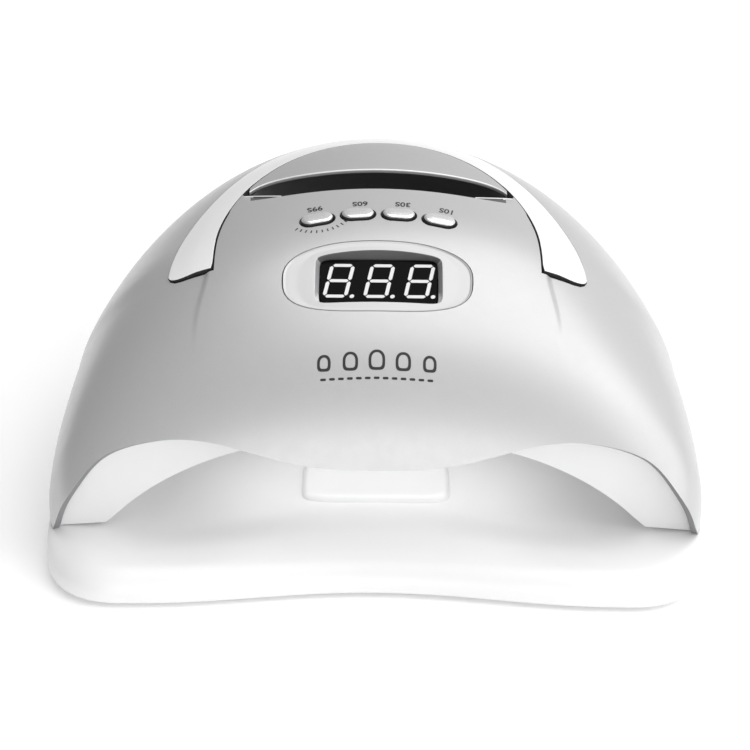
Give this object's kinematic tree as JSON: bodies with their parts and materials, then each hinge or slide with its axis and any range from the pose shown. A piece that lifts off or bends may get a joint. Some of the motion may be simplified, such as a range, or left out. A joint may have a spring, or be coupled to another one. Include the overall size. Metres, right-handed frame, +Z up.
{
  "type": "uv led nail lamp",
  "caption": "Domed nail-curing lamp with a hand opening, lift-off base tray, press buttons, display window and finger slot.",
  "frame": {"origin": "middle of the footprint, on the ground under the feet", "axes": "+Z up; the hand opening and the tray's rounded front face -Y; +X to the right of someone facing the opening"},
  "size_m": [0.22, 0.205, 0.1012],
  "materials": {
    "silver_plastic": "satin silver paint on plastic",
    "white_plastic": "smooth white moulding",
    "bezel_plastic": "pale satin silver",
    "black_plastic": "black moulding",
    "dark_lens": "smoked gloss lens",
    "button_metal": "bright plated cap",
    "plated_steel": "plated",
    "rubber_foot": "soft rubber",
    "green_board": "printed circuit board",
    "led_board": "white circuit board with clear LED beads",
    "lead_plastic": "insulated lead"
  },
  "bodies": {
    "tray": {"base_tray": "white_plastic", "tray_foot_1": "rubber_foot", "tray_foot_2": "rubber_foot", "tray_foot_3": "rubber_foot", "tray_foot_4": "rubber_foot", "tray_magnet_1": "plated_steel", "tray_magnet_2": "plated_steel", "tray_magnet_3": "plated_steel", "tray_magnet_4": "plated_steel"},
    "hood": {"upper_shell": "silver_plastic", "inner_lining": "white_plastic", "trim_band": "white_plastic", "handle_grip": "silver_plastic", "handle_well": "black_plastic", "display_bezel": "bezel_plastic", "display_window": "dark_lens", "display_module": "black_plastic", "display_board": "green_board", "button_board": "green_board", "driver_board": "green_board", "driver_capacitor": "black_plastic", "driver_inductor": "black_plastic", "hand_sensor": "black_plastic", "dc_inlet": "black_plastic", "inlet_lead": "lead_plastic", "led_lead": "lead_plastic", "tact_switch_1": "black_plastic", "tact_switch_2": "black_plastic", "tact_switch_3": "black_plastic", "tact_switch_4": "black_plastic", "led_board_roof": "led_board", "led_board_left": "led_board", "led_board_right": "led_board", "led_board_rear": "led_board", "hood_magnet_1": "plated_steel", "hood_magnet_2": "plated_steel", "hood_magnet_3": "plated_steel", "hood_magnet_4": "plated_steel", "lining_screw_1": "plated_steel", "lining_screw_2": "plated_steel", "lining_screw_3": "plated_steel", "lining_screw_4": "plated_steel"},
    "button_99s": {"button_99s": "button_metal"},
    "button_60s": {"button_60s": "button_metal"},
    "button_30s": {"button_30s": "button_metal"},
    "button_10s": {"button_10s": "button_metal"}
  },
  "joints": [
    {"name": "tray_release", "type": "slide", "parent": "tray", "child": "hood", "axis": [0, 0, 1], "range_m": [0, 0.06]},
    {"name": "press_99s", "type": "slide", "parent": "hood", "child": "button_99s", "axis": [0.1163, 0.0931, -0.9888], "range_m": [0, 0.0006], "stiffness_N_per_m": 800},
    {"name": "press_60s", "type": "slide", "parent": "hood", "child": "button_60s", "axis": [0.0383, 0.0763, -0.9963], "range_m": [0, 0.0006], "stiffness_N_per_m": 800},
    {"name": "press_30s", "type": "slide", "parent": "hood", "child": "button_30s", "axis": [-0.0395, 0.0763, -0.9963], "range_m": [0, 0.0006], "stiffness_N_per_m": 800},
    {"name": "press_10s", "type": "slide", "parent": "hood", "child": "button_10s", "axis": [-0.1174, 0.0942, -0.9886], "range_m": [0, 0.0006], "stiffness_N_per_m": 800}
  ]
}
